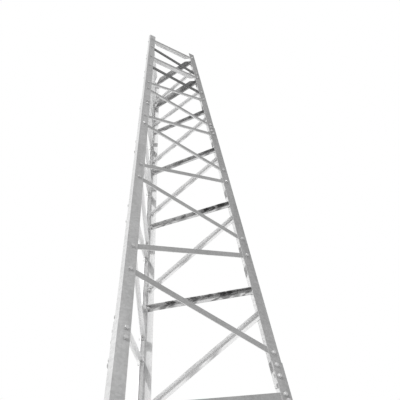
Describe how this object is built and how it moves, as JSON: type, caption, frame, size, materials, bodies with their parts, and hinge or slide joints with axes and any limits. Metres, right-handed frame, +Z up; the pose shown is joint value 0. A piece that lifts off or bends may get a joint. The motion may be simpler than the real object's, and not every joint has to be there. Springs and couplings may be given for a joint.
{
  "type": "three-legged lattice tower",
  "caption": "Tapering three-legged self-supporting lattice tower of bolted galvanised steel, with zig-zag bracing on every face, lapped leg sections and a base plate under each leg.",
  "frame": {"origin": "on the ground, in the middle of the outline of the three base plates", "axes": "+Z up along the tower, -Y out of the front face, +X to the right along that face"},
  "size_m": [1.3376, 1.1584, 6.8859],
  "materials": {
    "leg_steel": "galvanised",
    "brace_steel": "galvanised",
    "plate_steel": "galvanised"
  },
  "bodies": {
    "root": {"base_plate_left": "plate_steel", "base_plate_right": "plate_steel", "base_plate_back": "plate_steel", "leg_left_lower": "leg_steel", "leg_right_lower": "leg_steel", "leg_back_lower": "leg_steel", "leg_left_middle": "leg_steel", "leg_right_middle": "leg_steel", "leg_back_middle": "leg_steel", "leg_left_upper": "leg_steel", "leg_right_upper": "leg_steel", "leg_back_upper": "leg_steel", "front_lower_struts": "brace_steel", "right_lower_struts": "brace_steel", "left_lower_struts": "brace_steel", "front_lower_diagonals": "brace_steel", "right_lower_diagonals": "brace_steel", "left_lower_diagonals": "brace_steel", "front_middle_struts": "brace_steel", "right_middle_struts": "brace_steel", "left_middle_struts": "brace_steel", "front_middle_diagonals": "brace_steel", "right_middle_diagonals": "brace_steel", "left_middle_diagonals": "brace_steel", "front_upper_strut": "brace_steel", "right_upper_strut": "brace_steel", "left_upper_strut": "brace_steel", "front_upper_diagonals": "brace_steel", "right_upper_diagonals": "brace_steel", "left_upper_diagonals": "brace_steel", "front_top_rails": "brace_steel", "right_top_rails": "brace_steel", "left_top_rails": "brace_steel"}
  },
  "joints": []
}
